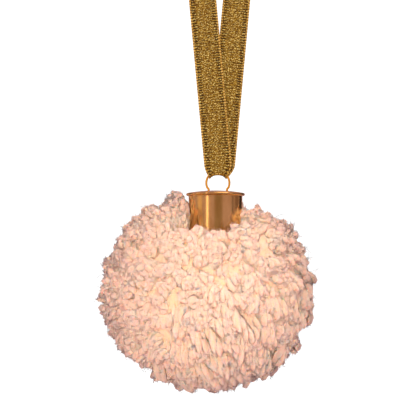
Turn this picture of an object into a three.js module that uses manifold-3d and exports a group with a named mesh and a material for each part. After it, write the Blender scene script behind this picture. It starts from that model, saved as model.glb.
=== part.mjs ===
// Yarn pom pom ornament, in millimetres, +Z up, +X to the viewer's right, seen along +Y.
// The origin is on the underside of the ribbon loop's top, where the loop hangs on a hook.
// A yarn ball is tied at its waist, its top sits in a pressed metal cap, a wire ring goes
// through the cap, and a ribbed metallic ribbon loop goes through the ring.

import * as THREE from 'three';
import { ConvexHull } from 'three/addons/math/ConvexHull.js';
import { mergeVertices } from 'three/addons/utils/BufferGeometryUtils.js';
import Module from 'manifold-3d';

const wasm = await Module();
wasm.setup();

// Clearance left between two pieces that touch or lie in each other
const GAP = 0.3;

// Ribbon loop
const RIBBON_WIDTH = 10;
const RIBBON_THICKNESS = 0.36;
const RIB_PITCH = 0.95;
const RIB_RELIEF = 0.07;
const LOOP_INSIDE_HEIGHT = 114;
const STRAND_LEAN = THREE.MathUtils.degToRad(5.3);
const STRAND_OFFSET = 0.4;
const TWIST_START = 67;
const TWIST_LENGTH = 30;
const LAP_LENGTH = 12;
const FLATTEN_LENGTH = 11;
const FOLD_SPREAD = THREE.MathUtils.degToRad(70);
const FOLD_COLUMNS = 4;

// Wire ring and its two legs
const WIRE_RADIUS = 0.4;
const RING_RADIUS = 4.2;
const RING_OFFSET = -0.65;
const RING_OPEN_ANGLE = THREE.MathUtils.degToRad(128);
const LEG_DEPTH = 5.5;
const LEG_SPLAY = 2;
const WIRE_SIDES = 8;
const WIRE_STEPS = 48;

// Metal cap
const CAP_OFFSET = -1.5;
const SKIRT_RADIUS = 9.8;
const CAP_WALL = 0.35;
const CAP_HEIGHT = 16.5;
const CAP_DOME = 0.9;
const BEAD_RADIUS = 0.52;
const BEAD_OVERHANG = 0.9;
const CAP_SEGMENTS = 40;

// Yarn ball
const BALL_OFFSET = -4.3;
const BALL_HALF_WIDTH = 38.4;
const BALL_HALF_HEIGHT = 36.8;
const CROWN_ABOVE_RIM = 1.4;
const LOCK_COUNT = 500;
const LOCK_DEPTH = 4.4;
const LOCK_ROUNDING = 1.0;
const LOCK_SHOULDER = 0.62;
const LOCK_NUDGE = 0.26;
const LOCK_LEAN = 0.35;
const LOCK_UNEVEN = 1.1;

// Parting in the yarn round the cap, deepest in front and behind
const SKIRT_SHOWN = 12.8;
const PARTING_SLOPE_FRONT = 0.03;
const PARTING_SLOPE_SIDE = 5;

// Hot glue inside the cap
const GLUE_DEPTH = 6;

// String round the waist of the yarn
const STRING_RADIUS = 0.6;
const STRING_SIDES = 8;
const WAIST_RADIUS = 6;
const KNOT_RADIUS = 1.5;
const TAIL_SPACING = 1.7;
const TAIL_GRIP = 3.5;

// Heights worked out from the sizes above
const ringTopZ = -LOOP_INSIDE_HEIGHT + WIRE_RADIUS + GAP;
const ringCentre = new THREE.Vector3(RING_OFFSET, 0, ringTopZ - RING_RADIUS);
const domeTopZ = ringCentre.z + RING_RADIUS * Math.cos(RING_OPEN_ANGLE) - WIRE_RADIUS / 2;
const rimTopZ = domeTopZ - CAP_DOME;
const skirtBottomZ = rimTopZ - CAP_HEIGHT;
const glueTopZ = rimTopZ - CAP_WALL - GAP;
const glueBottomZ = glueTopZ - GLUE_DEPTH;
const ballCentre = new THREE.Vector3(BALL_OFFSET, 0, rimTopZ + CROWN_ABOVE_RIM - BALL_HALF_HEIGHT);
const capInsideRadius = SKIRT_RADIUS - CAP_WALL;

function toSolid(geometry) {
  const bare = geometry.clone();
  bare.deleteAttribute('normal');
  bare.deleteAttribute('uv');
  const merged = mergeVertices(bare, 1e-5);
  return new wasm.Manifold(new wasm.Mesh({
    numProp: 3,
    vertProperties: new Float32Array(merged.attributes.position.array),
    triVerts: new Uint32Array(merged.index.array),
  }));
}

function toGeometry(solid) {
  const mesh = solid.getMesh();
  const geometry = new THREE.BufferGeometry();
  geometry.setAttribute('position', new THREE.BufferAttribute(mesh.vertProperties, 3));
  geometry.setIndex(new THREE.BufferAttribute(mesh.triVerts, 1));
  geometry.computeVertexNormals();
  return geometry;
}

function indexedGeometry(points, triangles) {
  const geometry = new THREE.BufferGeometry().setFromPoints(points);
  geometry.setIndex(triangles.flat());
  geometry.computeVertexNormals();
  return geometry;
}

// A number from -1 to 1 that is the same on each run
function scatter(item, channel) {
  const wave = Math.sin(item * 12.9898 + channel * 78.233) * 43758.5453;
  return 2 * (wave - Math.floor(wave)) - 1;
}

// Lathe geometry turns about Y, so it is tipped up to turn about Z
function turned(profile, segments, axisX) {
  const geometry = new THREE.LatheGeometry(profile, segments);
  geometry.rotateX(Math.PI / 2);
  geometry.translate(axisX, 0, 0);
  return geometry;
}

// Ribbon. Half of the loop is described, from the fold under the wire, up the front
// strand and over to the top. The other half is the same, turned half round about Z.
const foldRadius = WIRE_RADIUS + GAP + RIBBON_THICKNESS / 2;
const foldLength = foldRadius * Math.PI / 2;
const leanSin = Math.sin(STRAND_LEAN);
const leanCos = Math.cos(STRAND_LEAN);
const leanTan = Math.tan(STRAND_LEAN);
const topCentreRise = (LOOP_INSIDE_HEIGHT - WIRE_RADIUS - GAP + RIBBON_THICKNESS / 2
  - STRAND_OFFSET * leanCos) / (1 + leanSin);
const topRadius = (STRAND_OFFSET + topCentreRise * leanTan) * leanCos;
const strandLength = (topCentreRise - topRadius * leanSin) / leanCos;
const topArcLength = topRadius * (Math.PI / 2 + STRAND_LEAN);
const halfLength = foldLength + strandLength + topArcLength;
const ribsPerHalf = Math.round(halfLength / RIB_PITCH);
const stationLength = halfLength / (2 * ribsPerHalf);

// A point of the half loop: distance along it, place across it, height off its middle
function ribbonPoint(side, along, across, lift) {
  const beyondFold = Math.max(0, along - foldLength);
  const beyondStrand = Math.max(0, beyondFold - strandLength);
  const point = new THREE.Vector3();
  if (beyondStrand > 0) {
    const angle = Math.PI + STRAND_LEAN - beyondStrand / topRadius;
    const reach = topRadius + lift;
    point.set(reach * Math.cos(angle), -across, ringTopZ + topCentreRise + reach * Math.sin(angle));
  } else {
    const turn = THREE.MathUtils.smoothstep(beyondFold, TWIST_START, TWIST_START + TWIST_LENGTH);
    const twist = turn * Math.PI / 2;
    const sideways = across * Math.cos(twist) - lift * Math.sin(twist);
    const forwards = across * Math.sin(twist) + lift * Math.cos(twist);
    const x = -STRAND_OFFSET - beyondFold * leanSin + sideways * leanCos;
    const z = ringTopZ + beyondFold * leanCos + sideways * leanSin;
    point.set(x, -foldRadius * (1 - turn) - forwards, z);
  }
  // Near the wire the ribbon is gathered, and its middle rides higher than its edges
  const gather = Math.max(0, 1 - beyondFold / FLATTEN_LENGTH) ** 2;
  if (gather > 0) {
    const spread = across / (RIBBON_WIDTH / 2) * FOLD_SPREAD;
    const reach = RING_RADIUS - foldRadius;
    const bend = Math.min(along, foldLength) / foldRadius;
    const gathered = new THREE.Vector3(
      side * RING_OFFSET + reach * Math.sin(spread) - beyondFold * leanSin,
      -(foldRadius + lift) * Math.sin(bend),
      ringCentre.z + reach * Math.cos(spread) + foldRadius
        - (foldRadius + lift) * Math.cos(bend) + beyondFold * leanCos,
    );
    point.lerp(gathered, gather);
  }
  point.x *= side;
  point.y *= side;
  return point;
}

function ribbonSection(side, station) {
  const along = station * stationLength;
  const columns = along < foldLength + FLATTEN_LENGTH ? FOLD_COLUMNS : 1;
  const half = RIBBON_THICKNESS / 2 - (station % 2 === 0 ? 0 : RIB_RELIEF);
  const lapEnd = foldLength + strandLength + LAP_LENGTH / 2;
  const isLapped = side < 0 && along > lapEnd - LAP_LENGTH && along < lapEnd;
  const outer = [];
  const inner = [];
  for (let column = 0; column <= columns; column += 1) {
    const across = side * RIBBON_WIDTH * (column / columns - 0.5);
    outer.push(ribbonPoint(side, along, across, isLapped ? half + RIBBON_THICKNESS : half));
    inner.push(ribbonPoint(side, along, across, -half));
  }
  return { columns, loop: [...outer, ...inner.reverse()] };
}

function ribbonLoop() {
  const sections = [];
  const stations = 2 * ribsPerHalf;
  for (let station = 0; station < stations; station += 1) {
    sections.push(ribbonSection(1, station));
  }
  for (let station = stations; station > 0; station -= 1) {
    sections.push(ribbonSection(-1, station));
  }
  const points = [];
  const starts = sections.map((section) => {
    const start = points.length;
    points.push(...section.loop);
    return start;
  });
  const triangles = [];
  sections.forEach((section, place) => {
    const next = (place + 1) % sections.length;
    const near = section.loop.length;
    const far = sections[next].loop.length;
    let a = 0;
    let b = 0;
    // Walks round both sections, and steps on the one that is less far round
    while (a < near || b < far) {
      const nearPoint = starts[place] + a % near;
      const farPoint = starts[next] + b % far;
      const nearShare = sectionShare(section, a + 1);
      const farShare = sectionShare(sections[next], b + 1);
      if (b >= far || (a < near && nearShare <= farShare)) {
        triangles.push([nearPoint, starts[place] + (a + 1) % near, farPoint]);
        a += 1;
      } else {
        triangles.push([nearPoint, starts[next] + (b + 1) % far, farPoint]);
        b += 1;
      }
    }
  });
  return indexedGeometry(points, triangles);
}

// How far round a section a corner lies, where each face counts 1 and each edge 1
function sectionShare(section, corner) {
  const onOuter = Math.min(corner, section.columns);
  const onEdge = Math.min(Math.max(corner - section.columns, 0), 1);
  const onInner = Math.min(Math.max(corner - section.columns - 1, 0), section.columns);
  const onLastEdge = Math.max(corner - 2 * section.columns - 1, 0);
  return (onOuter + onInner) / section.columns + onEdge + onLastEdge;
}

// Wire hanger: an open ring whose ends go down through the cap and spread apart
function wireSolid(extra) {
  const legs = [1, 0.5].map((share) => new THREE.Vector3(
    RING_RADIUS * Math.sin(RING_OPEN_ANGLE) + LEG_SPLAY * share ** 2,
    0,
    domeTopZ - ringCentre.z - LEG_DEPTH * share,
  ));
  const path = [...legs];
  const arcPoints = 16;
  for (let step = 0; step <= arcPoints; step += 1) {
    const angle = RING_OPEN_ANGLE * (1 - 2 * step / arcPoints);
    path.push(new THREE.Vector3(RING_RADIUS * Math.sin(angle), 0, RING_RADIUS * Math.cos(angle)));
  }
  const mirrored = legs.map((leg) => new THREE.Vector3(-leg.x, leg.y, leg.z));
  path.push(...mirrored.reverse());
  const section = new THREE.Shape().absarc(0, 0, WIRE_RADIUS + extra, 0, 2 * Math.PI);
  const geometry = new THREE.ExtrudeGeometry(section, {
    steps: WIRE_STEPS,
    curveSegments: WIRE_SIDES / 2,
    extrudePath: new THREE.CatmullRomCurve3(path),
  });
  let solid = toSolid(geometry);
  for (const end of [path[0], path[path.length - 1]]) {
    const roundEnd = new THREE.SphereGeometry(WIRE_RADIUS + extra, WIRE_SIDES, WIRE_SIDES / 2);
    roundEnd.translate(end.x, end.y, end.z);
    solid = solid.add(toSolid(roundEnd));
  }
  return solid.translate(ringCentre.toArray());
}

// Cap: shallow dome, rolled bead round its edge, thin straight skirt open below
function capProfile() {
  const beadCentre = SKIRT_RADIUS + BEAD_OVERHANG - BEAD_RADIUS;
  const domeSteps = 4;
  const beadSteps = 6;
  const outside = [];
  for (let step = 0; step <= domeSteps; step += 1) {
    const share = step / domeSteps;
    outside.push(new THREE.Vector2(beadCentre * share, rimTopZ + CAP_DOME * (1 - share ** 2)));
  }
  for (let step = 1; step <= beadSteps; step += 1) {
    const angle = Math.PI / 2 - Math.PI * step / beadSteps;
    outside.push(new THREE.Vector2(
      beadCentre + BEAD_RADIUS * Math.cos(angle),
      rimTopZ - BEAD_RADIUS + BEAD_RADIUS * Math.sin(angle),
    ));
  }
  outside.push(new THREE.Vector2(SKIRT_RADIUS, rimTopZ - 2 * BEAD_RADIUS));
  outside.push(new THREE.Vector2(SKIRT_RADIUS, skirtBottomZ));
  const inside = [new THREE.Vector2(capInsideRadius, skirtBottomZ)];
  for (let step = domeSteps - 1; step >= 0; step -= 1) {
    const share = step / domeSteps;
    const wallTop = rimTopZ + CAP_DOME * (1 - share ** 2) - CAP_WALL;
    inside.push(new THREE.Vector2(share === 0 ? 0 : capInsideRadius * step / (domeSteps - 1), wallTop));
  }
  return [...outside, ...inside];
}

function ornamentCap() {
  const shell = toSolid(turned(capProfile().reverse(), CAP_SEGMENTS, CAP_OFFSET));
  return toGeometry(shell.subtract(wireSolid(GAP)));
}

// String: a ring round the waist, a knot on top and two tails up into the glue
function stringSolid(extra) {
  const radius = STRING_RADIUS + extra;
  const ring = new THREE.TorusGeometry(WAIST_RADIUS, radius, STRING_SIDES, 20);
  ring.rotateY(Math.PI / 2);
  ring.translate(ballCentre.x, ballCentre.y, ballCentre.z);
  const knot = new THREE.SphereGeometry(KNOT_RADIUS + extra, 10, 8);
  const knotZ = ballCentre.z + WAIST_RADIUS;
  knot.translate(ballCentre.x, 0, knotZ);
  let solid = toSolid(ring).add(toSolid(knot));
  for (const side of [-1, 1]) {
    const start = new THREE.Vector3(ballCentre.x + side * KNOT_RADIUS / 3, 0, knotZ);
    const end = new THREE.Vector3(CAP_OFFSET + side * TAIL_SPACING / 2, 0, glueBottomZ + TAIL_GRIP);
    const bend = new THREE.Vector3(end.x, 0, (start.z + end.z) / 2);
    const section = new THREE.Shape().absarc(0, 0, radius, 0, 2 * Math.PI);
    const tail = new THREE.ExtrudeGeometry(section, {
      steps: 8,
      curveSegments: STRING_SIDES / 2,
      extrudePath: new THREE.QuadraticBezierCurve3(start, bend, end.setZ(end.z + extra)),
    });
    solid = solid.add(toSolid(tail));
  }
  return solid;
}

// Glue: a plug that fills the top of the cap round the wire's legs and the string's tails
function gluePlug() {
  const radius = capInsideRadius - GAP;
  const profile = [
    new THREE.Vector2(0, glueBottomZ),
    new THREE.Vector2(radius, glueBottomZ),
    new THREE.Vector2(radius, glueTopZ),
    new THREE.Vector2(0, glueTopZ),
  ];
  const plug = toSolid(turned(profile, CAP_SEGMENTS, CAP_OFFSET));
  return toGeometry(plug.subtract(wireSolid(GAP)).subtract(stringSolid(GAP)));
}

// Ball: how far the cut ends of the yarn reach in one direction
function yarnReach(direction) {
  const flat = Math.hypot(direction.x, direction.y) / BALL_HALF_WIDTH;
  let reach = 1 / Math.hypot(flat, direction.z / BALL_HALF_HEIGHT);
  const reachStep = 0.2;
  while (isInParting(direction, reach)) {
    reach -= reachStep;
  }
  return reach;
}

// The parting is the space that opens upwards and outwards from the cap's skirt
function isInParting(direction, reach) {
  const point = direction.clone().multiplyScalar(reach).add(ballCentre);
  const fromCapX = point.x - CAP_OFFSET;
  const fromCap = Math.hypot(fromCapX, point.y);
  const sideShare = fromCap > 0 ? Math.abs(fromCapX / fromCap) ** 3 : 0;
  const slope = THREE.MathUtils.lerp(PARTING_SLOPE_FRONT, PARTING_SLOPE_SIDE, sideShare);
  const beyondSkirt = Math.max(0, fromCap - SKIRT_RADIUS);
  return point.z > rimTopZ - SKIRT_SHOWN + slope * beyondSkirt;
}

// Lock directions lie on a spiral round the ball, each nudged off its even place
function lockDirections() {
  const goldenAngle = Math.PI * (3 - Math.sqrt(5));
  const nudge = LOCK_NUDGE * Math.sqrt(4 * Math.PI / LOCK_COUNT);
  const directions = [];
  for (let lock = 0; lock < LOCK_COUNT; lock += 1) {
    const height = 1 - 2 * (lock + 0.5) / LOCK_COUNT;
    const flat = Math.sqrt(1 - height ** 2);
    const direction = new THREE.Vector3(
      flat * Math.cos(goldenAngle * lock),
      flat * Math.sin(goldenAngle * lock),
      height,
    );
    const shift = new THREE.Vector3(scatter(lock, 1), scatter(lock, 2), scatter(lock, 3));
    directions.push(direction.addScaledVector(shift, nudge).normalize());
  }
  return directions;
}

// Each lock of yarn is one cell of the ball's surface, with a rounded end that stands
// out from the low ground between the locks
function lockedBall() {
  const locks = lockDirections();
  const numberOf = new Map(locks.map((direction, lock) => [direction, lock]));
  const cells = locks.map(() => []);
  const reachOf = (direction, lock) => yarnReach(direction) + LOCK_UNEVEN * scatter(lock, 4);
  const points = [];
  for (const face of new ConvexHull().setFromPoints(locks).faces) {
    const owners = [0, 1, 2].map((edge) => numberOf.get(face.getEdge(edge).head().point));
    const direction = face.normal.clone();
    const reach = owners.reduce((sum, lock) => sum + reachOf(direction, lock) / 3, 0);
    const corner = { direction, index: points.length };
    points.push(direction.clone().multiplyScalar(reach - LOCK_DEPTH));
    owners.forEach((lock) => cells[lock].push(corner));
  }
  const triangles = [];
  cells.forEach((corners, lock) => {
    const centre = locks[lock];
    const east = new THREE.Vector3(-centre.y, centre.x, 0).normalize();
    const north = centre.clone().cross(east);
    const angleOf = ({ direction }) => Math.atan2(direction.dot(north), direction.dot(east));
    corners.sort((first, second) => angleOf(first) - angleOf(second));
    const lean = corners[lock % corners.length].direction;
    const end = centre.clone().lerp(lean, LOCK_LEAN * Math.abs(scatter(lock, 5))).normalize();
    const tip = points.length;
    points.push(end.clone().multiplyScalar(reachOf(end, lock)));
    const shoulders = corners.map((corner) => {
      const direction = centre.clone().lerp(corner.direction, LOCK_SHOULDER).normalize();
      points.push(direction.clone().multiplyScalar(reachOf(direction, lock) - LOCK_ROUNDING));
      return points.length - 1;
    });
    corners.forEach((corner, place) => {
      const next = (place + 1) % corners.length;
      triangles.push([tip, shoulders[place], shoulders[next]]);
      triangles.push([shoulders[place], corner.index, corners[next].index]);
      triangles.push([shoulders[place], corners[next].index, shoulders[next]]);
    });
  });
  const geometry = indexedGeometry(points, triangles);
  geometry.translate(ballCentre.x, ballCentre.y, ballCentre.z);
  return geometry;
}

function yarnBall() {
  const columnRadius = capInsideRadius - GAP;
  const columnTop = glueBottomZ - GAP;
  const column = turned([
    new THREE.Vector2(0, ballCentre.z),
    new THREE.Vector2(columnRadius, ballCentre.z),
    new THREE.Vector2(columnRadius, columnTop),
    new THREE.Vector2(0, columnTop),
  ], CAP_SEGMENTS, CAP_OFFSET);
  const slotTop = rimTopZ + BALL_HALF_HEIGHT;
  const slot = turned([
    new THREE.Vector2(columnRadius, skirtBottomZ - GAP),
    new THREE.Vector2(SKIRT_RADIUS + GAP, skirtBottomZ - GAP),
    new THREE.Vector2(SKIRT_RADIUS + GAP, slotTop),
    new THREE.Vector2(columnRadius, slotTop),
    new THREE.Vector2(columnRadius, skirtBottomZ - GAP),
  ], CAP_SEGMENTS, CAP_OFFSET);
  const bundle = toSolid(lockedBall()).add(toSolid(column));
  const cut = bundle.subtract(toSolid(slot)).subtract(stringSolid(GAP));
  // A crumb of a lock that the cap's slot cuts off from the ball is left out
  const [ball] = cut.decompose().sort((first, second) => second.volume() - first.volume());
  return toGeometry(ball);
}

function piece(name, geometry, color, roughness, metalness) {
  const material = new THREE.MeshStandardMaterial({ color, roughness, metalness });
  const mesh = new THREE.Mesh(geometry, material);
  mesh.name = name;
  return mesh;
}

const ornament = new THREE.Group();
ornament.add(
  piece('yarn_ball', yarnBall(), '#f3d2bb', 0.95, 0),
  piece('centre_tie', toGeometry(stringSolid(0)), '#e9dccb', 0.9, 0),
  piece('glue_plug', gluePlug(), '#e8dcc0', 0.4, 0),
  piece('ornament_cap', ornamentCap(), '#b5783f', 0.18, 1),
  piece('wire_hanger', toGeometry(wireSolid(0)), '#c07d33', 0.2, 1),
  piece('ribbon_loop', ribbonLoop(), '#8a6420', 0.5, 0.6),
);

export default ornament;
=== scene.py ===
"""Looks of the yarn pom pom ornament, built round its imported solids.

Lengths are in millimetres while a shape is worked out, and become metres when its mesh is made.
"""

import math

import bpy
import numpy as np
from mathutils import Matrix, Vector


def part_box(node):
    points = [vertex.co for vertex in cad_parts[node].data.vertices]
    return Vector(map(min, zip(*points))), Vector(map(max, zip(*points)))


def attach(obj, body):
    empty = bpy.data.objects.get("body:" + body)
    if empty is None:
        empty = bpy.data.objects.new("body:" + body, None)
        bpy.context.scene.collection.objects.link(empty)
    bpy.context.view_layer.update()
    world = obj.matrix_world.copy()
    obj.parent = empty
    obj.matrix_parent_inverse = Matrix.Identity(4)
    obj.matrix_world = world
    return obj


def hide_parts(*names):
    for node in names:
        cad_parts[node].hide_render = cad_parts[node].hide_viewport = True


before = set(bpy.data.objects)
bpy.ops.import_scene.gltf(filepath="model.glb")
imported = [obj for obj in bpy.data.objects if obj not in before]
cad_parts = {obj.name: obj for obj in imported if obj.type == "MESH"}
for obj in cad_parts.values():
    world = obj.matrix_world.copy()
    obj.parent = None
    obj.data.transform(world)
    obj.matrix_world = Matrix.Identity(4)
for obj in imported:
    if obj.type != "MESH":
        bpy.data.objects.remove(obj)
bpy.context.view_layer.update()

MM = 0.001
GOLDEN_ANGLE = math.pi * (3 - math.sqrt(5))


# Sizes and places read from the solids

def box_mm(node):
    low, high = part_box(node)
    return np.array(low) / MM, np.array(high) / MM


cap_low, cap_high = box_mm("ornament_cap")
ring_high = box_mm("wire_hanger")[1]


# Sizes, most of them the same as the solids'

GAP = 0.3
RIBBON_WIDTH = 10.0
RIBBON_THICKNESS = 0.36
RIB_PITCH = 0.95
LAP_LENGTH = 12.0
STRAND_LEAN = math.radians(5.3)
STRAND_OFFSET = 0.4
TWIST_START = 67.0
TWIST_LENGTH = 30.0
GATHER_LENGTH = 4.2
FOLD_SPREAD = math.radians(62)
FOLD_SLACK = 0.4

WIRE_RADIUS = 0.4
RING_RADIUS = 4.2
RING_OFFSET = -0.65
RING_OPEN_ANGLE = math.radians(128)
LEG_DEPTH = 5.5
LEG_SPLAY = 2.0

BEAD_RADIUS = 0.52
BEAD_OVERHANG = 0.9
CAP_WALL = 0.35
CAP_DOME = 0.9
CAP_AXIS_X = (cap_low[0] + cap_high[0]) / 2
SKIRT_RADIUS = (cap_high[1] - cap_low[1]) / 2 - BEAD_OVERHANG
RIM_TOP_Z = cap_high[2] - CAP_DOME
SKIRT_BOTTOM_Z = cap_low[2]

BALL_X = -4.3
BALL_HALF_WIDTH = 38.4
BALL_HALF_HEIGHT = 36.8
CROWN_ABOVE_RIM = 1.4
BALL_CENTRE = np.array([BALL_X, 0.0, RIM_TOP_Z + CROWN_ABOVE_RIM - BALL_HALF_HEIGHT])
SKIRT_SHOWN = 12.8
PARTING_SLOPE_FRONT = 0.03
PARTING_SLOPE_SIDE = 5.0
PARTING_SIDE_POWER = 7
LOCK_COUNT = 500
LOCK_NUDGE = 0.26
LOCK_UNEVEN = 1.1

RING_TOP_Z = ring_high[2] - WIRE_RADIUS
RING_CENTRE = np.array([RING_OFFSET, 0.0, RING_TOP_Z - RING_RADIUS])
LOOP_TOP_RISE = -RING_TOP_Z + RIBBON_THICKNESS / 2


# Places in the photo

MM_PER_PIXEL = 10 / 27.5
PHOTO_SIZE = 416
HANG_LINE_PIXEL_X = 219.65
RING_TOP_PIXEL_Y = 171.4
CAMERA_DISTANCE = 550.0
CAMERA_Z = -152.0


def photo_point(pixel_x, pixel_y):
    """The place in the ornament's middle plane that a pixel of the photo shows."""
    return np.array([
        (pixel_x - HANG_LINE_PIXEL_X) * MM_PER_PIXEL,
        0.0,
        RING_TOP_Z - (pixel_y - RING_TOP_PIXEL_Y) * MM_PER_PIXEL,
    ])


# Mesh and node helpers

def make_piece(name, points, faces, replaced=(), smooth=True, uv=None, tone=None):
    """A mesh of the scene. A tone is a point's share along its yarn, and the shade of its ply."""
    mesh = bpy.data.meshes.new(name)
    mesh.from_pydata((np.asarray(points) * MM).tolist(), [], faces)
    mesh.polygons.foreach_set("use_smooth", [smooth] * len(mesh.polygons))
    if uv is not None:
        layer = mesh.uv_layers.new(name="lengths")
        corners = np.empty(len(mesh.loops), dtype=np.int32)
        mesh.loops.foreach_get("vertex_index", corners)
        layer.data.foreach_set("uv", np.asarray(uv)[corners].astype(np.float32).ravel())
    if tone is not None:
        attribute = mesh.attributes.new("tone", "FLOAT_COLOR", "POINT")
        colours = np.ones((len(points), 4), dtype=np.float32)
        colours[:, :2] = tone
        attribute.data.foreach_set("color", colours.ravel())
    mesh.update()
    piece = bpy.data.objects.new(name, mesh)
    bpy.context.scene.collection.objects.link(piece)
    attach(piece, "root")
    if replaced:
        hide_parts(*replaced)
    return piece


class Shader:
    """A material under construction, with short ways to add and join nodes."""

    def __init__(self, name):
        self.material = bpy.data.materials.new(name)
        self.material.use_nodes = True
        self.nodes = self.material.node_tree.nodes
        self.surface = self.nodes["Principled BSDF"]

    def add(self, kind, **settings):
        node = self.nodes.new(kind)
        for key, value in settings.items():
            setattr(node, key, value)
        return node

    def join(self, source, target):
        self.material.node_tree.links.new(source, target)

    def set(self, **values):
        for key, value in values.items():
            self.surface.inputs[key.replace("_", " ")].default_value = value

    def lengths(self, scale):
        """Lengths round and along a ply, or across and along the ribbon."""
        place = self.add("ShaderNodeUVMap", uv_map="lengths")
        mapping = self.add("ShaderNodeMapping")
        mapping.inputs["Scale"].default_value = (*scale, 1.0)
        self.join(place.outputs["UV"], mapping.inputs["Vector"])
        return mapping.outputs["Vector"]

    def places(self, scale):
        """Places on the piece, in metres times the scale."""
        place = self.add("ShaderNodeTexCoord")
        mapping = self.add("ShaderNodeMapping")
        mapping.inputs["Scale"].default_value = scale
        self.join(place.outputs["Object"], mapping.inputs["Vector"])
        return mapping.outputs["Vector"]

    def noise(self, vector, scale, detail=3.0, roughness=0.5):
        node = self.add("ShaderNodeTexNoise")
        node.inputs["Scale"].default_value = scale
        node.inputs["Detail"].default_value = detail
        node.inputs["Roughness"].default_value = roughness
        self.join(vector, node.inputs["Vector"])
        return node.outputs["Fac"]

    def ramp(self, factor, stops):
        node = self.add("ShaderNodeValToRGB")
        elements = node.color_ramp.elements
        while len(elements) < len(stops):
            elements.new(0.5)
        for element, (position, colour) in zip(elements, stops):
            element.position = position
            element.color = (*colour, 1.0)
        self.join(factor, node.inputs["Fac"])
        return node.outputs["Color"]

    def math(self, operation, first, second):
        node = self.add("ShaderNodeMath", operation=operation)
        for socket, value in zip(node.inputs, (first, second)):
            if isinstance(value, (int, float)):
                socket.default_value = value
            else:
                self.join(value, socket)
        return node.outputs["Value"]

    def share(self, value, start, end):
        """0 at the start and 1 at the end, smooth between them."""
        node = self.add("ShaderNodeMapRange", interpolation_type="SMOOTHSTEP")
        rising = end > start
        low, high = (start, end) if rising else (end, start)
        node.inputs["From Min"].default_value = low
        node.inputs["From Max"].default_value = high
        node.inputs["To Min"].default_value = 0.0 if rising else 1.0
        node.inputs["To Max"].default_value = 1.0 if rising else 0.0
        self.join(value, node.inputs["Value"])
        return node.outputs["Result"]

    def wave(self, value, pitch):
        """A wave from 0 to 1 that repeats at each pitch."""
        turns = self.math("MULTIPLY", value, 2 * math.pi / pitch)
        swing = self.math("MULTIPLY", self.math("COSINE", turns, 0.0), 0.5)
        return self.math("ADD", swing, 0.5)

    def mix(self, factor, first, second, blend="MIX"):
        node = self.add("ShaderNodeMix", data_type="RGBA", blend_type=blend)
        for name, value in (("Factor", factor), ("A", first), ("B", second)):
            socket = next(s for s in node.inputs if s.name == name and s.enabled)
            if isinstance(value, (int, float)):
                socket.default_value = value
            elif isinstance(value, tuple):
                socket.default_value = (*value, 1.0)
            else:
                self.join(value, socket)
        return next(s for s in node.outputs if s.enabled)

    def bump(self, height, distance, strength=1.0):
        """Relief of a distance in millimetres."""
        node = self.add("ShaderNodeBump")
        node.inputs["Strength"].default_value = strength
        node.inputs["Distance"].default_value = distance * MM
        self.join(height, node.inputs["Height"])
        self.join(node.outputs["Normal"], self.surface.inputs["Normal"])
        return node.outputs["Normal"]

    def vector(self, operation, first, second=(0.0, 0.0, 0.0)):
        node = self.add("ShaderNodeVectorMath", operation=operation)
        for socket, value in zip(node.inputs, (first, second)):
            if isinstance(value, tuple):
                socket.default_value = value
            else:
                self.join(value, socket)
        return node.outputs["Vector"]

    def face_away_from(self, centre, share, normal):
        """Light meets deep pile more as it meets the whole ball than as it meets each fibre."""
        place = self.add("ShaderNodeTexCoord").outputs["Object"]
        away = self.vector("NORMALIZE", self.vector("SUBTRACT", place, centre))
        turned = self.add("ShaderNodeVectorTransform", vector_type="NORMAL",
                          convert_from="OBJECT", convert_to="WORLD")
        self.join(away, turned.inputs["Vector"])
        of_ball = self.vector("MULTIPLY", turned.outputs["Vector"], (share,) * 3)
        of_fibre = self.vector("MULTIPLY", normal, (1 - share,) * 3)
        both = self.vector("NORMALIZE", self.vector("ADD", of_ball, of_fibre))
        self.join(both, self.surface.inputs["Normal"])


def scatter(item, channel):
    """The same number from -1 to 1 that the solids' locks are nudged with."""
    wave = math.sin(item * 12.9898 + channel * 78.233) * 43758.5453
    return 2 * (wave - math.floor(wave)) - 1


def smoothstep(value, start, end):
    share = np.clip((value - start) / (end - start), 0, 1)
    return share * share * (3 - 2 * share)


def unit(vector):
    return vector / np.linalg.norm(vector)


# Yarn ball

YARNS_PER_LOCK = 4
YARN_SPREAD = 2.1
YARN_SHOWN = 9.0
YARN_CLEAR_OF_CAP = 2.2
CLEAR_SHARE_ON_LEFT = 0.5
TIPS_UNDER_OUTLINE = 1.5
TURN_UNEVEN = 0.2
SPREAD_UNEVEN = 0.2
CUT_UNEVEN = 0.45

# The yarn leans down over the lower right, and some of it lies flat there
LEAN_WAY = unit(np.array([0.55, 0.0, -1.0]))
LEANING_SIDE = unit(np.array([0.45, -0.35, -0.75]))
LEAN_LEAST = 0.1
LEAN_MORE = 1.2
LEANING_DROP = 1.4
LYING_SHARE = 0.22
LYING_LEAN = 2.2
LYING_LIFT = 0.7
BEND_REACH = 0.6
BEND_UNEVEN = 0.25
BENT_SLOPE = 0.8

CLUMP_LENGTH = 13.0
CLUMP_HEIGHT = 0.9
CLUMP_BEND = 0.6
CLUMP_WAVES = 9

PLY_COUNT = 3
PLY_RADIUS = 1.38
PLY_OFFSET = 0.9
PLY_FLARE = 0.4
PLY_PITCH = 6.2
PLY_SIDES = 4
PLY_TIP = 0.3
PLY_ROUGHNESS = 0.1
PLY_WIDTH_UNEVEN = 0.1
RING_SHARES = np.array([0, 0.15, 0.29, 0.43, 0.56, 0.68, 0.79, 0.89, 0.96, 1.0])
RING_WIDTHS = np.array([0.85, 0.88, 0.92, 0.96, 0.99, 1.01, 1.02, 1.03, 0.9, 0.6])
PLY_GROUPS = 4

# Tones: the share along a yarn whose colour a point has, and its shade
# The core's deep share gives it the warmer colour, painted bounce light in the gaps between the
# ends; fibres and strays take the colour near the cut ends, with a little of its painted shade.
CORE_TONE = (0.3, 0.5)
FIBRE_TONE = (0.85, 0.5)
STRAY_TONE = (0.9, 0.5)

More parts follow.
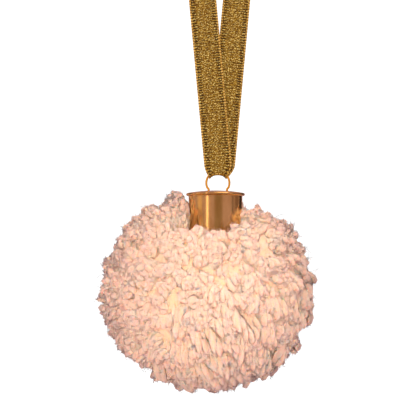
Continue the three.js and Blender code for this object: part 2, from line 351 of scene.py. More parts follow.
# Ends that stand out of the outline, by the pixels of the photo where they stop
STANDING_ENDS = [
    (174, 194), (183, 199), (248, 203), (265, 203), (281, 214), (122, 226), (94, 293), (99, 312),
    (107, 331), (151, 379), (165, 389), (221, 391), (250, 386), (297, 357), (306, 337), (318, 308),
    (319, 268), (300, 232),
]
STANDING_NUDGES = (0.0, 0.06)
STANDING_SHORTER = 1.7
NUDGED_SHORTER = 20

# Where the yarn lies lower: a pixel of the photo, how much lower, and how far round in radians
LOW_PLACES = [
    ((256, 206), 2.6, 0.34),
    ((148, 200), 1.8, 0.3),
    ((150, 376), 2.4, 0.5),
    ((200, 394), 1.3, 0.35),
    ((312, 318), 1.6, 0.3),
]
LOW_PLACE_MIDDLE = 0.08


def unit_rows(vectors):
    return vectors / np.linalg.norm(vectors, axis=-1, keepdims=True)


def square_to(vectors, ways):
    """What is left of each vector once its share along its way is taken out."""
    return vectors - np.sum(vectors * ways, axis=-1, keepdims=True) * ways


def in_parting(point, margin=0.0):
    """Whether a place lies in the space round the cap that the yarn is parted from."""
    from_cap = math.hypot(point[0] - CAP_AXIS_X, point[1])
    side_share = abs((point[0] - CAP_AXIS_X) / max(from_cap, 1e-6)) ** PARTING_SIDE_POWER
    slope = PARTING_SLOPE_FRONT + (PARTING_SLOPE_SIDE - PARTING_SLOPE_FRONT) * side_share
    side_margin = margin * (1.0 if point[0] > CAP_AXIS_X else CLEAR_SHARE_ON_LEFT)
    beyond_skirt = max(0.0, from_cap - side_margin - SKIRT_RADIUS)
    return point[2] + margin > RIM_TOP_Z - SKIRT_SHOWN + slope * beyond_skirt


def yarn_reach(direction, margin=0.0):
    """How far the yarn's outline is from the ball's centre, less where the yarn is parted."""
    flat = math.hypot(direction[0], direction[1]) / BALL_HALF_WIDTH
    reach = 1 / math.hypot(flat, direction[2] / BALL_HALF_HEIGHT)
    step = 0.2
    while in_parting(BALL_CENTRE + reach * direction, margin):
        reach -= step
    return reach


def lock_direction(lock):
    """The way to a lock of the solid, nearly evenly spaced round the ball."""
    nudge = LOCK_NUDGE * math.sqrt(4 * math.pi / LOCK_COUNT)
    height = 1 - 2 * (lock + 0.5) / LOCK_COUNT
    flat = math.sqrt(1 - height ** 2)
    turn = GOLDEN_ANGLE * lock
    even = np.array([flat * math.cos(turn), flat * math.sin(turn), height])
    return unit(even + nudge * np.array([scatter(lock, channel) for channel in (1, 2, 3)]))


def low_place_depth(direction):
    depth_here = 0.0
    for pixel, depth, width in LOW_PLACES:
        place = unit(photo_point(*pixel) - BALL_CENTRE)
        off_place = math.acos(min(1.0, float(np.dot(direction, place))))
        depth_here += depth * (1 - float(smoothstep(off_place, LOW_PLACE_MIDDLE, width)))
    return depth_here


def yarn_tips(rest):
    """Direction and reach of every yarn end: those of the locks, then the standing ones."""
    directions = []
    reaches = []
    for lock in range(LOCK_COUNT):
        centre = lock_direction(lock)
        east = unit(np.array([-centre[1], centre[0], 0.0]))
        north = np.cross(centre, east)
        start_turn = rest.uniform(0, 2 * math.pi)
        for yarn in range(YARNS_PER_LOCK):
            even_turn = start_turn + 2 * math.pi * yarn / YARNS_PER_LOCK
            turn = even_turn + TURN_UNEVEN * rest.normal()
            spread = YARN_SPREAD / BALL_HALF_WIDTH * (1 + SPREAD_UNEVEN * rest.normal())
            direction = unit(centre + spread * (math.cos(turn) * east + math.sin(turn) * north))
            reach = yarn_reach(direction, YARN_CLEAR_OF_CAP) - TIPS_UNDER_OUTLINE
            reach += LOCK_UNEVEN * scatter(lock, 4) - low_place_depth(direction)
            directions.append(direction)
            reaches.append(reach + CUT_UNEVEN * rest.normal())
    for pixel in STANDING_ENDS:
        out = photo_point(*pixel) - BALL_CENTRE
        for nudge in STANDING_NUDGES:
            shifted = out + nudge * rest.normal(size=3) * np.linalg.norm(out)
            directions.append(unit(shifted))
            reaches.append(np.linalg.norm(out) - STANDING_SHORTER - NUDGED_SHORTER * nudge)
    return np.array(directions), np.array(reaches)


def clumps(directions, rest):
    """How far each yarn stands out with its clump, and the way to the clump's crest."""
    waves = unit_rows(rest.normal(size=(CLUMP_WAVES, 3)))
    starts = rest.uniform(0, 2 * math.pi, size=CLUMP_WAVES)
    turns = 2 * math.pi * BALL_HALF_WIDTH / CLUMP_LENGTH * directions @ waves.T + starts
    rise = np.sin(turns).sum(axis=1) / math.sqrt(CLUMP_WAVES)
    uphill = np.cos(turns) @ waves / math.sqrt(CLUMP_WAVES)
    return rise, uphill


def yarn_paths(directions, reaches, rest):
    """Middle lines of the yarns, from inside the ball to their cut ends, and a side of each."""
    towards = directions @ LEANING_SIDE
    leaning = smoothstep(towards, -0.15, 0.8)
    lying = (rest.uniform(size=len(directions)) < LYING_SHARE) * smoothstep(towards, 0.0, 0.4)
    lean = LEAN_LEAST + LEAN_MORE * leaning + LYING_LEAN * lying
    rise, uphill = clumps(directions, rest)
    reaches = reaches - LEANING_DROP * leaning + CLUMP_HEIGHT * rise
    bend = lean[:, None] * LEAN_WAY + CLUMP_BEND * uphill
    bend = square_to(bend + BEND_UNEVEN * rest.normal(size=directions.shape), directions)
    shares = RING_SHARES[None, :, None]
    outward = directions[:, None, :]
    paths = (reaches - YARN_SHOWN)[:, None, None] * outward
    paths = paths + YARN_SHOWN * (shares * outward + BEND_REACH * shares ** 2 * bend[:, None, :])
    reach = np.linalg.norm(paths, axis=2)
    back_from_end = YARN_SHOWN * (1 - RING_SHARES) * BENT_SLOPE
    most = reaches[:, None] + LYING_LIFT * lying[:, None] - back_from_end
    paths = paths * np.minimum(1, most / reach)[:, :, None]
    return BALL_CENTRE + paths, unit_rows(np.cross(directions, bend))


def ply_rings(paths, sides, ply, start_turns, rest):
    """Rings of points round one ply of every yarn, and each ply's last place and way."""
    count = len(paths)
    ways = unit_rows(np.gradient(paths, axis=1))
    across = np.broadcast_to(sides[:, None, :], paths.shape)
    ups = np.cross(ways, across)
    turns = start_turns + 2 * math.pi * (ply / PLY_COUNT + RING_SHARES * YARN_SHOWN / PLY_PITCH)
    round_yarn = np.cos(turns)[..., None] * across + np.sin(turns)[..., None] * ups
    offsets = PLY_OFFSET * (1 + PLY_FLARE * RING_SHARES ** 4)
    centres = paths + offsets[:, None] * round_yarn
    longer = CUT_UNEVEN * rest.normal(size=(count, 1, 1))
    centres = centres + longer * RING_SHARES[None, :, None] ** 3 * ways
    ply_ways = unit_rows(np.gradient(centres, axis=1))
    ply_sides = unit_rows(square_to(across, ply_ways))
    ply_ups = np.cross(ply_ways, ply_sides)
    round_turns = np.linspace(0, 2 * math.pi, PLY_SIDES, endpoint=False)
    widths = PLY_RADIUS * RING_WIDTHS * (1 + PLY_WIDTH_UNEVEN * rest.normal(size=(count, 1)))
    outward = np.cos(round_turns)[:, None] * ply_sides[:, :, None, :]
    outward = outward + np.sin(round_turns)[:, None] * ply_ups[:, :, None, :]
    rings = centres[:, :, None, :] + widths[:, :, None, None] * outward
    rings = rings + rest.normal(scale=PLY_ROUGHNESS, size=rings.shape)
    tips = centres[:, -1] + PLY_TIP * ply_ways[:, -1]
    flat_rings = rings.reshape(count, -1, 3)
    points = np.concatenate([flat_rings, centres[:, :1], tips[:, None]], axis=1)
    return points, centres[:, -1], ply_ways[:, -1]


def tube_faces(ring_count, sides):
    """Faces of a closed tube whose last two points are the middles of its ends."""
    faces = []
    for ring in range(ring_count - 1):
        for side in range(sides):
            after = (side + 1) % sides
            low = ring * sides
            high = low + sides
            faces.append((low + side, low + after, high + after, high + side))
    first = ring_count * sides
    last_ring = (ring_count - 1) * sides
    for side in range(sides):
        after = (side + 1) % sides
        faces.append((first, after, side))
        faces.append((first + 1, last_ring + side, last_ring + after))
    return faces


def repeated(faces, points_each, count):
    """The same faces again for each of a number of equal sets of points."""
    return [tuple(corner + item * points_each for corner in face)
            for item in range(count) for face in faces]


def make_yarns():
    """All the yarn ends, in a few pieces, and the last place and way of every ply."""
    rest = np.random.default_rng(23)
    directions, reaches = yarn_tips(rest)
    paths, sides = yarn_paths(directions, reaches, rest)
    start_turns = rest.uniform(0, 2 * math.pi, size=(len(paths), 1))
    plies = [ply_rings(paths, sides, ply, start_turns, rest) for ply in range(PLY_COUNT)]
    points, ends, ways = (np.concatenate(part) for part in zip(*plies))
    faces_of_one = tube_faces(len(RING_SHARES), PLY_SIDES)
    side_lengths = np.arange(PLY_SIDES) * 2 * math.pi / PLY_SIDES * PLY_RADIUS
    around = np.tile(side_lengths, len(RING_SHARES))
    along = np.repeat(RING_SHARES * YARN_SHOWN, PLY_SIDES)
    lengths = np.column_stack([[*around, 0, 0], [*along, 0, YARN_SHOWN]])
    most_shift = 40
    pieces = []
    for group in range(PLY_GROUPS):
        tubes = points[group::PLY_GROUPS]
        count, points_each, _ = tubes.shape
        uv = lengths[None] + rest.uniform(0, most_shift, size=(count, 1, 2))
        tone = np.empty((count, points_each, 2))
        tone[:, :, 0] = lengths[None, :, 1] / YARN_SHOWN
        tone[:, :, 1] = rest.uniform(size=(count, 1))
        faces = repeated(faces_of_one, points_each, count)
        pieces.append(make_piece(
            f"yarn_ends_{group + 1}", tubes.reshape(-1, 3), faces, ("yarn_ball",),
            uv=uv.reshape(-1, 2), tone=tone.reshape(-1, 2),
        ))
    return pieces, ends, ways


def make_core():
    """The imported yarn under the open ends."""
    rows = 90
    columns = 140
    under_ends = 3.2
    wave_height = 0.4
    waves_round = 31
    waves_down = 37
    wave_slant = 3
    points = []
    for row in range(rows + 1):
        polar = math.pi * row / rows
        flat = math.sin(polar)
        for column in range(columns):
            turn = 2 * math.pi * column / columns
            direction = np.array([flat * math.cos(turn), flat * math.sin(turn), math.cos(polar)])
            wave = math.sin(waves_round * turn + wave_slant * polar) * math.sin(waves_down * polar)
            reach = yarn_reach(direction, YARN_CLEAR_OF_CAP) - TIPS_UNDER_OUTLINE - under_ends
            points.append(BALL_CENTRE + (reach + wave_height * wave * flat) * direction)
    faces = []
    for row in range(rows):
        for column in range(columns):
            after = (column + 1) % columns
            low = row * columns
            high = low + columns
            faces.append((low + column, high + column, high + after, low + after))
    points = np.array(points)
    tone = np.tile(CORE_TONE, (len(points), 1))
    return make_piece(
        "yarn_core", points, faces, ("yarn_ball",), uv=points[:, [0, 2]], tone=tone,
    )


def spikes(starts, ways, lengths, widths, rest):
    """Fine closed spikes with three sides, for the loose fibres."""
    sides = unit_rows(np.cross(ways, rest.normal(size=ways.shape)))
    ups = np.cross(ways, sides)
    corners = []
    for corner in range(3):
        angle = 2 * math.pi * corner / 3
        corners.append(starts + widths[:, None] * (math.cos(angle) * sides + math.sin(angle) * ups))
    return np.stack([*corners, starts + lengths[:, None] * ways], axis=1)


def make_fuzz(ends, ways):
    """Fibres that bloom from the cut ends, and finer ones that stand off the plies' sides."""
    rest = np.random.default_rng(31)
    blooming = 10
    bloom_depth = 0.4
    standing_off = 3
    sets = []
    for _ in range(blooming):
        out = unit_rows(0.5 * ways + 0.8 * rest.normal(size=ways.shape))
        off_middle = 0.4 * PLY_RADIUS * rest.normal(size=ways.shape)
        start = ends + off_middle - bloom_depth * ways
        length = rest.uniform(0.9, 2.0, size=len(ways))
        width = rest.uniform(0.08, 0.15, size=len(ways))
        sets.append(spikes(start, out, length, width, rest))
    for _ in range(standing_off):
        out = unit_rows(square_to(rest.normal(size=ways.shape), ways) + 0.4 * ways)
        back = rest.uniform(0.3, 4.5, size=(len(ways), 1))
        start = ends - back * ways + 0.7 * PLY_RADIUS * out
        length = rest.uniform(0.7, 1.6, size=len(ways))
        width = np.full(len(ways), 0.06)
        sets.append(spikes(start, out, length, width, rest))
    points = np.concatenate(sets)
    faces_of_one = [(0, 2, 1), (0, 1, 3), (1, 2, 3), (2, 0, 3)]
    pieces = []
    for half in range(2):
        part = points[half::2]
        flat = part.reshape(-1, 3)
        faces = repeated(faces_of_one, 4, len(part))
        pieces.append(make_piece(
            f"yarn_fuzz_{half + 1}", flat, faces, ("yarn_ball",), False,
            uv=flat[:, [0, 2]], tone=np.tile(FIBRE_TONE, (len(flat), 1)),
        ))
    return pieces


def make_strays():
    """Long single fibres that float off the outline, most of them at the upper right."""
    rest = np.random.default_rng(47)
    stray_count = 34
    count_on_right = 24
    right_middle = math.radians(28)
    left_middle = math.radians(140)
    root_depth = 2.5
    bow_height = 3.2
    end_lift = 1.2
    rings = 9
    sides = 3
    width = 0.09
    shares = np.linspace(0, 1, rings)
    points = []
    for stray in range(stray_count):
        on_right = stray < count_on_right
        middle, spread = (right_middle, 0.38) if on_right else (left_middle, 0.5)
        turn = middle + spread * rest.normal()
        out = unit(np.array([math.cos(turn), 0.35 * rest.normal(), math.sin(turn)]))
        drift = unit(np.cross(out, rest.normal(size=3)))
        length = rest.uniform(5, 11)
        rise = bow_height * np.sin(shares * math.pi * rest.uniform(0.45, 0.8))
        start = BALL_CENTRE + (yarn_reach(out) - root_depth) * out
        path = start + np.outer(shares * length, drift) + np.outer(rise + end_lift * shares, out)
        tangents, across, ups = tube_frames(path)
        for ring, (centre, side, up) in enumerate(zip(path, across, ups)):
            thin = width * (1 - 0.6 * ring / rings)
            for corner in range(sides):
                angle = 2 * math.pi * corner / sides
                points.append(centre + thin * (math.cos(angle) * side + math.sin(angle) * up))
        points.extend([path[0], path[-1] + 0.2 * tangents[-1]])
    points = np.array(points)
    faces = repeated(tube_faces(rings, sides), rings * sides + 2, stray_count)
    tone = np.tile(STRAY_TONE, (len(points), 1))
    return make_piece(
        "yarn_strays", points, faces, ("yarn_ball",), uv=points[:, [0, 2]], tone=tone,
    )


def tube_frames(path):
    """The way of a path at each of its points, and two ways square to it that don't twist."""
    tangents = np.gradient(path, axis=0)
    tangents /= np.linalg.norm(tangents, axis=1)[:, None]
    side = unit(np.cross(tangents[0], [0.31, 0.77, 0.55]))
    sides = []
    for tangent in tangents:
        side = unit(side - np.dot(side, tangent) * tangent)
        sides.append(side)
    sides = np.array(sides)
    return tangents, sides, np.cross(tangents, sides)


def yarn_material(name, translucency):
    """Cream yarn with fine streaks along its fibres, warmer deep down as painted bounce light in
    the gaps, and darker at the cut ends as painted shade.
    """
    shader = Shader(name)
    tone = shader.add("ShaderNodeVertexColor", layer_name="tone")
    parts = shader.add("ShaderNodeSeparateColor")
    shader.join(tone.outputs["Color"], parts.inputs["Color"])
    along_yarn = parts.outputs["Red"]
    shade = parts.outputs["Green"]
    # Deep shares are warmer, painted bounce light in the gaps; the last share is darker, painted
    # shade on the cut ends.
    cream_with_painted_light = shader.ramp(along_yarn, [
        (0.0, (0.95, 0.70, 0.48)), (0.4, (0.98, 0.76, 0.59)), (0.8, (0.98, 0.76, 0.62)),
        (1.0, (0.92, 0.70, 0.60)),
    ])
    ply_shade = shader.ramp(shade, [(0.0, (0.97, 0.95, 0.94)), (1.0, (1.0, 1.0, 1.0))])
    colour = shader.mix(1.0, cream_with_painted_light, ply_shade, "MULTIPLY")
    fibres = shader.noise(shader.lengths((3.4, 0.6)), 1.6, 4.0, 0.65)
    streaks = shader.ramp(fibres, [(0.3, (0.95, 0.92, 0.90)), (0.62, (1.0, 1.0, 1.0))])
    colour = shader.mix(0.4, colour, streaks, "MULTIPLY")
    shader.join(colour, shader.surface.inputs["Base Color"])
    shader.set(Roughness=0.95, Specular_IOR_Level=0.1, Sheen_Weight=0.15, Sheen_Roughness=0.6)
    shader.set(Subsurface_Weight=translucency, Subsurface_Scale=0.001)
    shader.set(Subsurface_Radius=(1.0, 0.7, 0.5))
    uneven = shader.bump(fibres, 0.25, 0.5)
    shader.face_away_from(tuple(BALL_CENTRE * MM), 0.92, uneven)
    return shader.material


# Metal cap and wire

def turned_shell(name, profile, segments, replaced):
    """A closed piece turned about the cap's axis, by radius and height from its top inwards."""
    points = []
    for radius, height in profile:
        for segment in range(segments):
            turn = 2 * math.pi * segment / segments
            points.append((CAP_AXIS_X + radius * math.cos(turn), radius * math.sin(turn), height))
    faces = []
    for row in range(len(profile) - 1):
        for segment in range(segments):
            after = (segment + 1) % segments
            low = row * segments
            high = low + segments
            faces.append((low + segment, high + segment, high + after, low + after))
    top = len(points)
    points.append((CAP_AXIS_X, 0, profile[0][1]))
    points.append((CAP_AXIS_X, 0, profile[-1][1]))
    last = (len(profile) - 1) * segments
    for segment in range(segments):
        after = (segment + 1) % segments
        faces.append((top, segment, after))
        faces.append((top + 1, last + after, last + segment))
    return make_piece(name, points, faces, replaced)


def cap_profile():
    """Dome, rolled bead, plain skirt, and back up inside the skirt and under the dome."""
    bead_centre = SKIRT_RADIUS + BEAD_OVERHANG - BEAD_RADIUS
    profile = []
    dome_steps = 14
    for step in range(1, dome_steps + 1):
        share = step / dome_steps
        profile.append((bead_centre * share, RIM_TOP_Z + CAP_DOME * (1 - share ** 2)))
    bead_steps = 14
    for step in range(1, bead_steps + 1):
        angle = math.pi / 2 - math.pi * step / bead_steps
        profile.append((
            bead_centre + BEAD_RADIUS * math.cos(angle),
            RIM_TOP_Z - BEAD_RADIUS + BEAD_RADIUS * math.sin(angle),
        ))
    neck_z = RIM_TOP_Z - 2 * BEAD_RADIUS
    fillet = 0.18
    profile.append((SKIRT_RADIUS + fillet, neck_z))
    profile.append((SKIRT_RADIUS + fillet * 0.3, neck_z - fillet * 0.3))
    profile.append((SKIRT_RADIUS, neck_z - fillet))
    skirt_steps = 16
    for step in range(1, skirt_steps + 1):
        height = neck_z - fillet + (SKIRT_BOTTOM_Z - neck_z + fillet) * step / skirt_steps
        profile.append((SKIRT_RADIUS, height))
    inside_radius = SKIRT_RADIUS - CAP_WALL
    profile.append((inside_radius, SKIRT_BOTTOM_Z))
    for step in range(dome_steps, 0, -1):
        share = step / dome_steps
        profile.append((inside_radius * share, RIM_TOP_Z + CAP_DOME * (1 - share ** 2) - CAP_WALL))
    return profile


def metal_material(name, colour, dark, roughness, metallic=1.0):
    """Plated metal with faint wear, smudges and ripples."""
    shader = Shader(name)
    worn = shader.noise(shader.places((260, 260, 120)), 1.0, 4.0, 0.6)
    tint = shader.ramp(worn, [(0.35, dark), (0.7, colour)])
    shader.join(tint, shader.surface.inputs["Base Color"])
    shader.set(Metallic=metallic)
    smudge = shader.noise(shader.places((500, 500, 60)), 1.0, 3.0, 0.6)
    gloss = shader.add("ShaderNodeMapRange")
    gloss.inputs["To Min"].default_value = roughness * 0.7
    gloss.inputs["To Max"].default_value = roughness * 1.5
    shader.join(smudge, gloss.inputs["Value"])
    shader.join(gloss.outputs["Result"], shader.surface.inputs["Roughness"])
    ripple = shader.noise(shader.places((220, 220, 25)), 1.0, 2.0, 0.5)
    shader.bump(ripple, 0.05, 0.5)
    return shader.material


def spline_points(knots, steps_each):
    """Points of a Catmull-Rom curve through the knots."""
    knots = np.array(knots)
    padded = np.vstack([2 * knots[0] - knots[1], knots, 2 * knots[-1] - knots[-2]])
    points = []
    for place in range(1, len(padded) - 2):
        before, start, end, after = padded[place - 1:place + 3]
        for step in range(steps_each):
            t = step / steps_each
            points.append(0.5 * (2 * start + (end - before) * t
                                 + (2 * before - 5 * start + 4 * end - after) * t ** 2
                                 + (3 * start - before - 3 * end + after) * t ** 3))
    points.append(knots[-1])
    return np.array(points)


def make_wire():
    """A ring above the cap, open below, whose two legs go down through it."""
    dome_top = RIM_TOP_Z + CAP_DOME - RING_CENTRE[2]
    legs = []
    for share in (1.0, 0.5):
        legs.append((
            RING_RADIUS * math.sin(RING_OPEN_ANGLE) + LEG_SPLAY * share ** 2,
            0.0,
            dome_top - LEG_DEPTH * share,
        ))
    knots = list(legs)
    arc_points = 16
    for step in range(arc_points + 1):
        angle = RING_OPEN_ANGLE * (1 - 2 * step / arc_points)
        knots.append((RING_RADIUS * math.sin(angle), 0.0, RING_RADIUS * math.cos(angle)))
    knots.extend((-x, y, z) for x, y, z in reversed(legs))
    steps_each = 8
    path = spline_points(knots, steps_each) + RING_CENTRE
    sides = 16
    tangents, across, ups = tube_frames(path)
    points = []
    for centre, side, up in zip(path, across, ups):
        for corner in range(sides):
            turn = 2 * math.pi * corner / sides
            points.append(centre + WIRE_RADIUS * (math.cos(turn) * side + math.sin(turn) * up))
    points.extend([path[0] - WIRE_RADIUS * tangents[0], path[-1] + WIRE_RADIUS * tangents[-1]])
    faces = tube_faces(len(path), sides)
    return make_piece("wire_ring", points, faces, ("wire_hanger",))


# Ribbon

FOLD_RADIUS = WIRE_RADIUS + GAP + RIBBON_THICKNESS / 2
FOLD_LENGTH = FOLD_RADIUS * math.pi / 2
TOP_CENTRE_RISE = LOOP_TOP_RISE - STRAND_OFFSET * math.cos(STRAND_LEAN)
TOP_CENTRE_RISE /= 1 + math.sin(STRAND_LEAN)
TOP_RADIUS = (STRAND_OFFSET + TOP_CENTRE_RISE * math.tan(STRAND_LEAN)) * math.cos(STRAND_LEAN)
STRAND_LENGTH = (TOP_CENTRE_RISE - TOP_RADIUS * math.sin(STRAND_LEAN)) / math.cos(STRAND_LEAN)
HALF_LENGTH = FOLD_LENGTH + STRAND_LENGTH + TOP_RADIUS * (math.pi / 2 + STRAND_LEAN)


def ribbon_point(side, along, across, lift):
    """A place on one half of the ribbon, by its length from the ring and its width and lift."""
    beyond_fold = max(0.0, along - FOLD_LENGTH)
    beyond_strand = max(0.0, beyond_fold - STRAND_LENGTH)
    if beyond_strand > 0:
        angle = math.pi + STRAND_LEAN - beyond_strand / TOP_RADIUS
        reach = TOP_RADIUS + lift
        rise = RING_TOP_Z + TOP_CENTRE_RISE + reach * math.sin(angle)
        point = np.array([reach * math.cos(angle), -across, rise])
    else:
        turn = float(smoothstep(beyond_fold, TWIST_START, TWIST_START + TWIST_LENGTH))
        twist = turn * math.pi / 2
        sideways = across * math.cos(twist) - lift * math.sin(twist)
        forwards = across * math.sin(twist) + lift * math.cos(twist)
        lean_sin = math.sin(STRAND_LEAN)
        lean_cos = math.cos(STRAND_LEAN)
        point = np.array([
            -STRAND_OFFSET - beyond_fold * lean_sin + sideways * lean_cos,
            -FOLD_RADIUS * (1 - turn) - forwards,
            RING_TOP_Z + beyond_fold * lean_cos + sideways * lean_sin,
        ])
    gather = max(0.0, 1 - along / GATHER_LENGTH) ** 2
    if gather > 0:
        spread = across / (RIBBON_WIDTH / 2) * FOLD_SPREAD
        reach = RING_RADIUS - FOLD_RADIUS - FOLD_SLACK * math.cos(spread) ** 4
        bend = min(along, FOLD_LENGTH) / FOLD_RADIUS
        gathered = np.array([
            side * RING_OFFSET + reach * math.sin(spread) - beyond_fold * math.sin(STRAND_LEAN),
            -(FOLD_RADIUS + lift) * math.sin(bend),
            RING_CENTRE[2] + reach * math.cos(spread) + FOLD_RADIUS
            - (FOLD_RADIUS + lift) * math.cos(bend) + beyond_fold * math.cos(STRAND_LEAN),
        ])
        point = point + (gathered - point) * gather
    return point * np.array([side, side, 1])


def make_ribbon():
    """One closed strip with crosswise ribs, thicker along its selvages and where its ends lap."""
    columns = 12
    steps_per_rib = 4
    rib_relief = 0.035
    selvage_width = 0.5
    selvage_relief = 0.05
    stations = round(HALF_LENGTH / RIB_PITCH) * steps_per_rib
    rows = [(1, station) for station in range(stations)]
    rows += [(-1, station) for station in range(stations, 0, -1)]
    lap_end = FOLD_LENGTH + STRAND_LENGTH + LAP_LENGTH / 2
    points = []
    uv = []
    for side, station in rows:
        along = HALF_LENGTH * station / stations
        rib_place = (station % steps_per_rib) / steps_per_rib
        rib = 0.5 - 0.5 * math.cos(2 * math.pi * rib_place)
        lapped = side < 0 and lap_end - LAP_LENGTH < along < lap_end
        signed_along = along if side > 0 else 2 * HALF_LENGTH - along
        for face in (1, -1):
            for column in range(columns + 1):
                share = column / columns if face > 0 else 1 - column / columns
                across = side * RIBBON_WIDTH * (share - 0.5)
                from_edge = min(share, 1 - share) * RIBBON_WIDTH
                half = RIBBON_THICKNESS / 2 - rib_relief * (1 - rib)
                half += selvage_relief * (from_edge < selvage_width)
                extra = RIBBON_THICKNESS if lapped and face > 0 else 0
                points.append(ribbon_point(side, along, across, face * half + extra))
                uv.append((share * RIBBON_WIDTH, signed_along))
    ring = 2 * (columns + 1)
    faces = []
    for row in range(len(rows)):
        after_row = (row + 1) % len(rows)
        for corner in range(ring):
            after = (corner + 1) % ring
            faces.append((
                row * ring + corner, row * ring + after,
                after_row * ring + after, after_row * ring + corner,
            ))
    ribbon = make_piece("metallic_ribbon", points, faces, ("ribbon_loop",), uv=uv)
    return ribbon


def ribbon_material():
    """Ribs with open gaps painted dark as shade, deepest beside the beaded selvages, in metallic
    thread with painted shade in its low places, painted glints, and painted highlight and shade on
    the beads.
    """
    shader = Shader("metallic_gold_ribbon")
    place = shader.add("ShaderNodeUVMap", uv_map="lengths")
    parts = shader.add("ShaderNodeSeparateXYZ")
    shader.join(place.outputs["UV"], parts.inputs["Vector"])
    across = parts.outputs["X"]
    along = parts.outputs["Y"]
    from_middle = shader.math("ABSOLUTE", shader.math("SUBTRACT", across, RIBBON_WIDTH / 2), 0.0)
    from_edge = shader.math("SUBTRACT", RIBBON_WIDTH / 2, from_middle)
    selvage = shader.share(from_edge, 0.62, 0.5)
    past_selvage = shader.share(from_edge, 0.55, 0.75)
    near_selvage = shader.share(from_edge, 2.6, 1.5)
    beside_selvage = shader.math("MULTIPLY", past_selvage, near_selvage)

    gap_wave = shader.wave(along, RIB_PITCH)
    patchy = shader.share(shader.noise(shader.lengths((0.5, 0.4)), 1.0, 3.0, 0.6), 0.40, 0.62)
    open_edges = shader.math("MULTIPLY", beside_selvage, 0.8)
    open_patches = shader.math("MULTIPLY", patchy, 0.6)
    openness = shader.math("ADD", open_edges, open_patches)
    gap = shader.math("MULTIPLY", shader.share(gap_wave, 0.5, 0.85), openness)

    # Where this noise makes the weave low, the thread goes near black: painted shade in the weave's
    # low places.
    fine_weave = shader.noise(shader.lengths((0.9, 2.6)), 1.0, 3.0, 0.75)
    thread = shader.ramp(fine_weave, [
        (0.34, (0.038, 0.016, 0.001)), (0.46, (0.19, 0.102, 0.010)),
        (0.56, (0.38, 0.245, 0.026)), (0.66, (0.80, 0.65, 0.12)),
    ])
    # Scattered bright yellow spots are painted glints, highlights in the base colour.
    glint = shader.share(shader.noise(shader.lengths((2.2, 2.4)), 1.0, 1.0, 0.5), 0.58, 0.64)
    thread = shader.mix(glint, thread, (1.0, 0.97, 0.34))
    # Along the selvages the gold thread gets bright bead tops and darker spaces between them:
    # painted highlight and painted shade.
    beads = shader.wave(along, RIB_PITCH * 1.1)
    bead_gold_and_painted_light = shader.ramp(beads, [(0.2, (0.36, 0.20, 0.03)), (0.75, (0.95, 0.72, 0.18))])
    colour = shader.mix(selvage, thread, bead_gold_and_painted_light)
    # The gaps are painted near black: painted shade between the ribs.
    colour = shader.mix(gap, colour, (0.022, 0.010, 0.003))
    shader.join(colour, shader.surface.inputs["Base Color"])
    shader.set(Metallic=0.6, Roughness=0.45)
    thread_height = shader.math("MULTIPLY", fine_weave, 0.6)
    gap_depth = shader.math("MULTIPLY", gap, 0.7)
    shader.bump(shader.math("SUBTRACT", thread_height, gap_depth), 0.16, 0.9)
    return shader.material


# Hidden pieces that keep their solids

def string_material():
    shader = Shader("cotton_string")
    strands = shader.noise(shader.places((900, 900, 300)), 1.0, 3.0)
    colour = shader.ramp(strands, [(0.3, (0.62, 0.52, 0.38)), (0.7, (0.86, 0.78, 0.62))])
    shader.join(colour, shader.surface.inputs["Base Color"])
    shader.set(Roughness=0.9)
    shader.bump(strands, 0.2, 0.6)
    return shader.material


def glue_material():
    shader = Shader("set_hot_glue")
    cloud = shader.noise(shader.places((200, 200, 200)), 1.0, 2.0)
    colour = shader.ramp(cloud, [(0.3, (0.70, 0.62, 0.42)), (0.7, (0.86, 0.82, 0.66))])
    shader.join(colour, shader.surface.inputs["Base Color"])
    shader.set(Roughness=0.35, Subsurface_Weight=0.3, Subsurface_Scale=0.003)
    shader.bump(cloud, 0.1, 0.3)
    return shader.material


def dress(piece, material):
    piece.data.materials.clear()
    piece.data.materials.append(material)


# Camera, stage and light

def make_camera():
    target = photo_point(PHOTO_SIZE / 2, PHOTO_SIZE / 2)
    place = np.array([target[0], -CAMERA_DISTANCE, CAMERA_Z])
    data = bpy.data.cameras.new("photo_camera")
    data.sensor_fit = "HORIZONTAL"
    distance = float(np.linalg.norm(target - place))
    data.angle = 2 * math.atan(PHOTO_SIZE * MM_PER_PIXEL / 2 / distance)
    data.clip_start = 0.02
    data.clip_end = 50
    camera = bpy.data.objects.new("photo_camera", data)
    camera.location = Vector(place * MM)
    camera.rotation_euler = Vector((target - place) * MM).to_track_quat("-Z", "Y").to_euler()
    bpy.context.scene.collection.objects.link(camera)
    bpy.context.scene.camera = camera


def make_light(name, place, size, power, colour, in_gloss=True):
    """A rectangle of light that faces the ball's centre."""
    data = bpy.data.lights.new(name, "AREA")
    data.shape = "RECTANGLE"
    data.size, data.size_y = size
    data.energy = power
    data.color = colour
    light = bpy.data.objects.new(name, data)
    light.location = place
    towards_ball = Vector(BALL_CENTRE * MM) - light.location
    light.rotation_euler = towards_ball.to_track_quat("-Z", "Y").to_euler()
    light.visible_glossy = in_gloss
    bpy.context.scene.collection.objects.link(light)


def make_glowing_mesh(name, points, faces, colour, strength):
    """A mesh that glows evenly and reflects nothing."""
    shader = Shader(name)
    shader.set(Base_Color=(0, 0, 0, 1), Specular_IOR_Level=0)
    shader.set(Emission_Color=(*colour, 1), Emission_Strength=strength)
    mesh = bpy.data.meshes.new(name)
    mesh.from_pydata(points, [], faces)
    mesh.materials.append(shader.material)
    glowing = bpy.data.objects.new(name, mesh)
    bpy.context.scene.collection.objects.link(glowing)
    return glowing


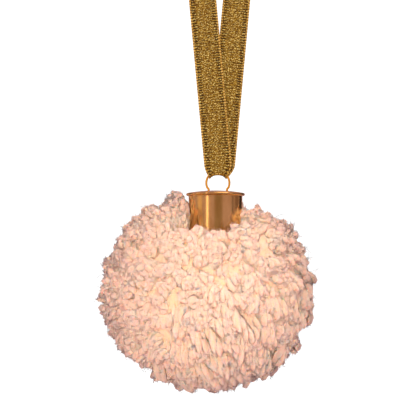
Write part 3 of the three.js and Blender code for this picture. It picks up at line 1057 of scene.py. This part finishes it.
def make_stage():
    """A white floor, walls and ceiling that only the camera sees."""
    floor_z = -0.32
    half = 6.0
    wall = 5.0
    corners = [(-half, -half), (half, -half), (half, half), (-half, half)]
    points = [(x, y, floor_z) for x, y in corners] + [(x, y, wall) for x, y in corners]
    faces = [(0, 1, 2, 3), (7, 6, 5, 4)]
    faces += [(i, (i + 1) % 4, (i + 1) % 4 + 4, i + 4) for i in range(4)]
    room = make_glowing_mesh("pale_room", points, faces, (1, 1, 1), 1.2)
    room.visible_diffuse = False
    room.visible_glossy = False
    room.visible_shadow = False


def make_card(name, azimuth, width, colour, strength):
    """A tall strip, seen only in the metal, that stands round the ornament as a room would.

    Its azimuth from the camera's side and its width are in degrees.
    """
    distance = 1.2
    height = 1.4
    turn = math.radians(azimuth)
    half_width = distance * math.tan(math.radians(width) / 2)
    centre = BALL_CENTRE * MM + distance * np.array([math.sin(turn), -math.cos(turn), 0.0])
    across = half_width * np.array([math.cos(turn), math.sin(turn), 0.0])
    lift = np.array([0.0, 0.0, height / 2])
    low_left = centre - across - lift
    low_right = centre + across - lift
    points = [low_left, low_right, low_right + 2 * lift, low_left + 2 * lift]
    card = make_glowing_mesh(name, np.array(points).tolist(), [(0, 1, 2, 3)], colour, strength)
    card.visible_camera = False
    card.visible_diffuse = False
    card.visible_shadow = False


def make_cards():
    make_card("card_far_left", -125, 34, (1.0, 0.8, 0.7), 0.03)
    make_card("card_left", -71, 22, (1.0, 0.72, 0.5), 0.75)
    make_card("card_middle", 12, 34, (1.0, 0.7, 0.52), 0.29)
    make_card("card_right", 78, 8, (1.0, 0.7, 0.6), 0.12)
    make_card("card_far_right", 103, 26, (1.0, 0.6, 0.5), 0.2)
    make_card("card_back_right", 135, 28, (1.0, 0.7, 0.6), 0.02)


def make_lights():
    """A small light by the camera, a streak for the metal, and light from above and behind."""
    make_light(
        "front", place=(-0.02, -0.95, -0.135), size=(0.14, 0.14), power=8.9,
        colour=(1.0, 0.735, 0.58), in_gloss=False,
    )
    make_light(
        "streak", place=(-0.55, -0.77, -0.05), size=(0.1, 0.7), power=0.55,
        colour=(1.0, 0.84, 0.68),
    )
    make_light(
        "top", place=(0.24, -0.3, 0.5), size=(0.5, 0.5), power=1.8,
        colour=(1.0, 0.82, 0.68),
    )
    make_light(
        "back", place=(0.15, 0.85, 0.25), size=(0.6, 0.5), power=5.0,
        colour=(1.0, 0.8, 0.66), in_gloss=False,
    )
    world = bpy.data.worlds.new("soft_room")
    world.use_nodes = True
    background = world.node_tree.nodes["Background"]
    background.inputs["Color"].default_value = (0.47, 0.325, 0.36, 1)
    background.inputs["Strength"].default_value = 1.0
    bpy.context.scene.world = world
    bpy.context.scene.view_settings.view_transform = "Standard"


make_camera()
make_stage()
make_cards()
make_lights()

yarn = yarn_material("cream_yarn", 1.0)
fibre = yarn_material("cream_fibres", 0.0)
yarn_pieces, ply_ends, ply_ways = make_yarns()
for yarn_piece in [*yarn_pieces, make_core()]:
    dress(yarn_piece, yarn)
for fibre_piece in [*make_fuzz(ply_ends, ply_ways), make_strays()]:
    dress(fibre_piece, fibre)

cap = turned_shell("pressed_cap", cap_profile(), 128, ("ornament_cap",))
cap_gold = metal_material("polished_gold_cap", (0.98, 0.63, 0.25), (0.82, 0.48, 0.16), 0.18)
dress(cap, cap_gold)
wire_gold = metal_material("polished_gold_wire", (0.95, 0.55, 0.08), (0.80, 0.42, 0.05), 0.3, 0.7)
dress(make_wire(), wire_gold)
dress(make_ribbon(), ribbon_material())
dress(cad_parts["centre_tie"], string_material())
dress(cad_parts["glue_plug"], glue_material())
